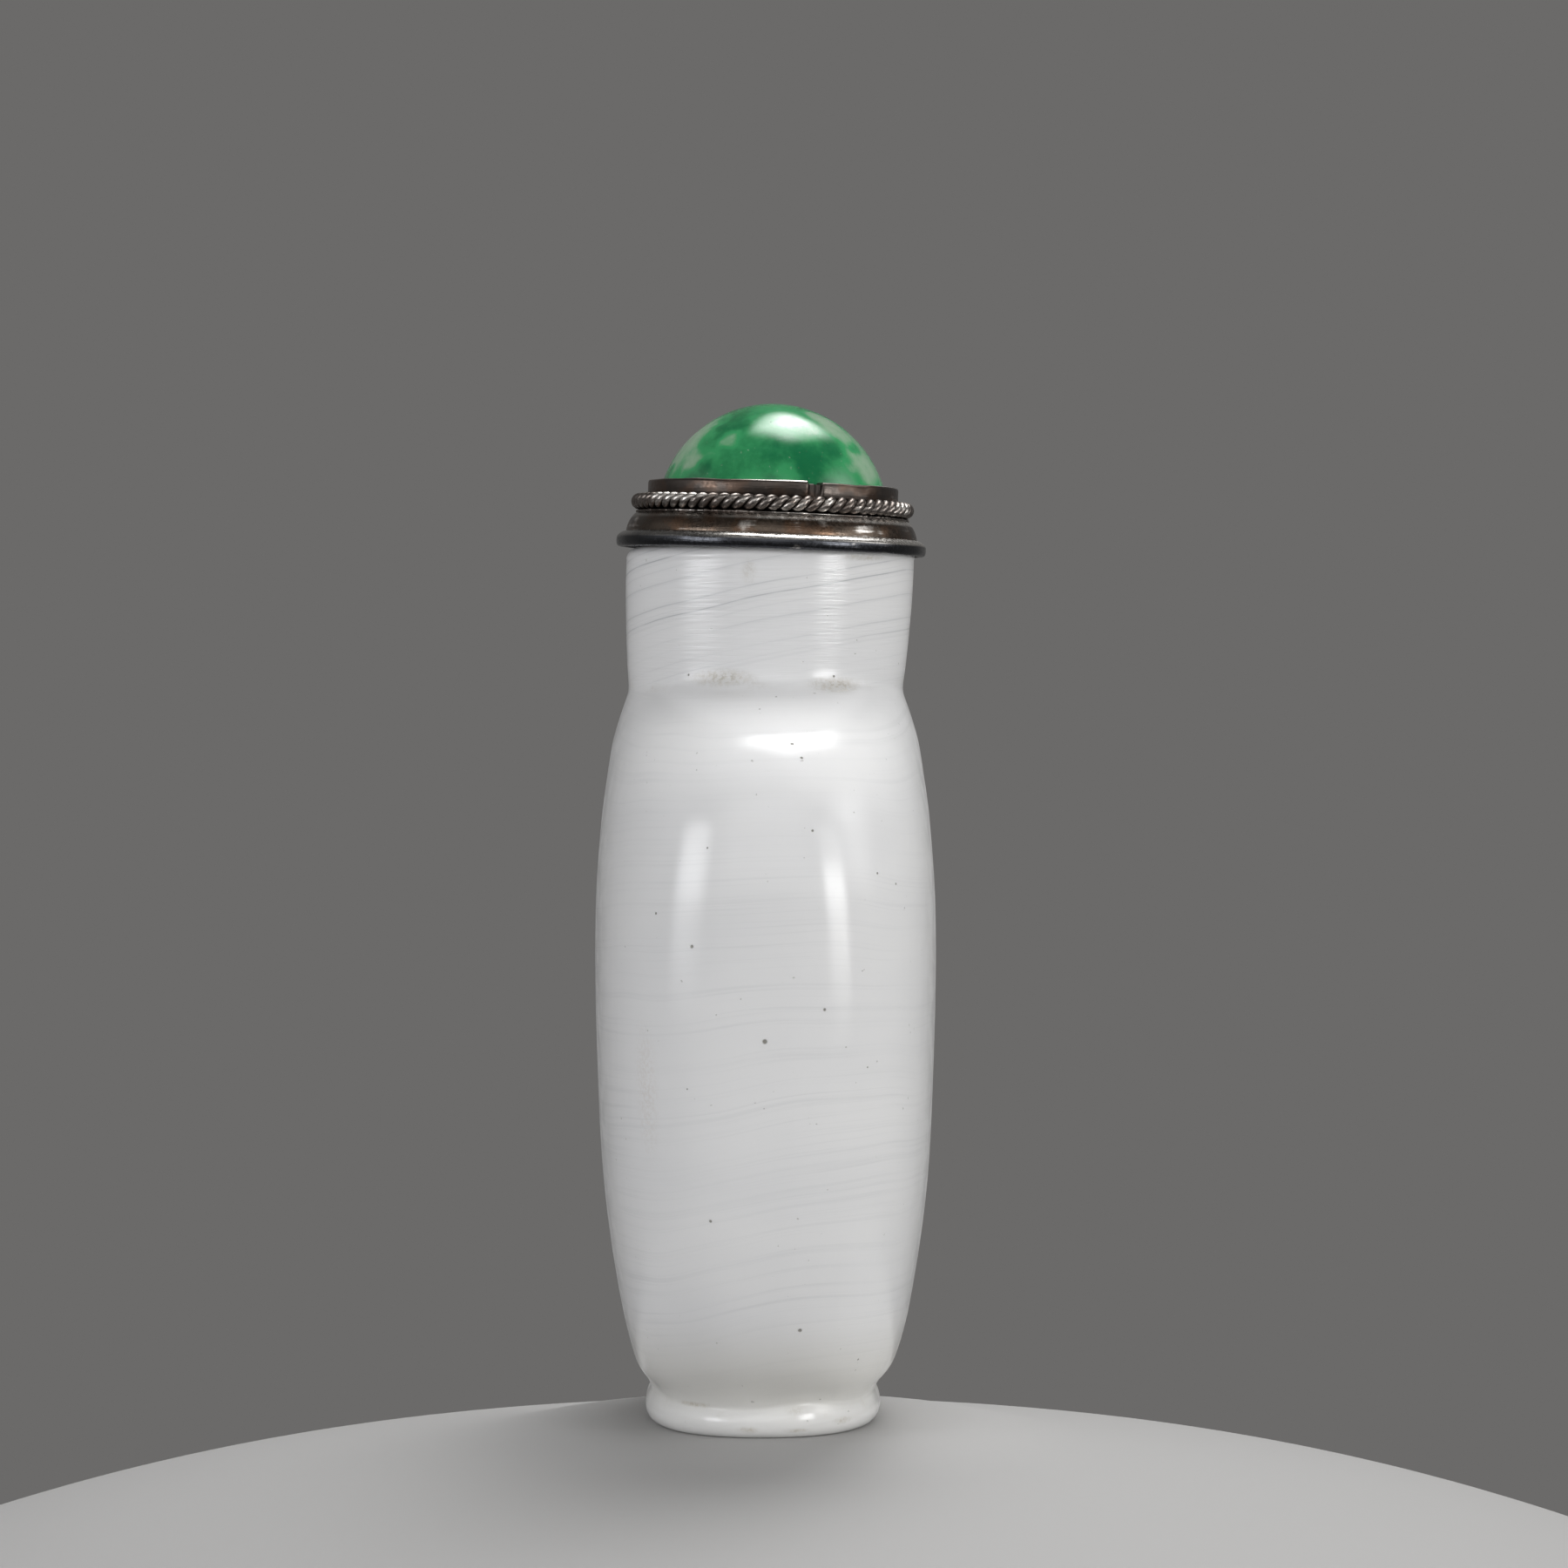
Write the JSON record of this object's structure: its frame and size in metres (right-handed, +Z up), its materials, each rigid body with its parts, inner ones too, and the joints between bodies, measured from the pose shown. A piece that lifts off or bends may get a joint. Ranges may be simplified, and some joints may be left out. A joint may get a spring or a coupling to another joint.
{
  "type": "snuff bottle",
  "caption": "Flattened opaque white glass snuff bottle with a round neck, a beaded oval foot and a lift-out stopper: a green jade dome in a silver mount over a cork.",
  "frame": {"origin": "middle of the foot, on the surface that the bottle stands on", "axes": "+Z up the bottle; X through the thickness of the flattened body; Y across its width; the neck leans 2 degrees to +X"},
  "size_m": [0.0218, 0.0412, 0.065],
  "materials": {
    "milk_glass": "polished opaque milk-white glass with fine wheel marks and faint grey striations",
    "worn_silver": "tarnished silver, rubbed bright on the high places",
    "jade": "polished green jadeite, mottled with pale patches",
    "cork": "dry cork bark"
  },
  "bodies": {
    "root": {"bottle": "milk_glass", "collar_plate": "worn_silver", "collar_rim_wire": "worn_silver", "twisted_wire": "worn_silver", "bezel_band": "worn_silver", "jade_cabochon": "jade", "cork": "cork"}
  },
  "joints": []
}
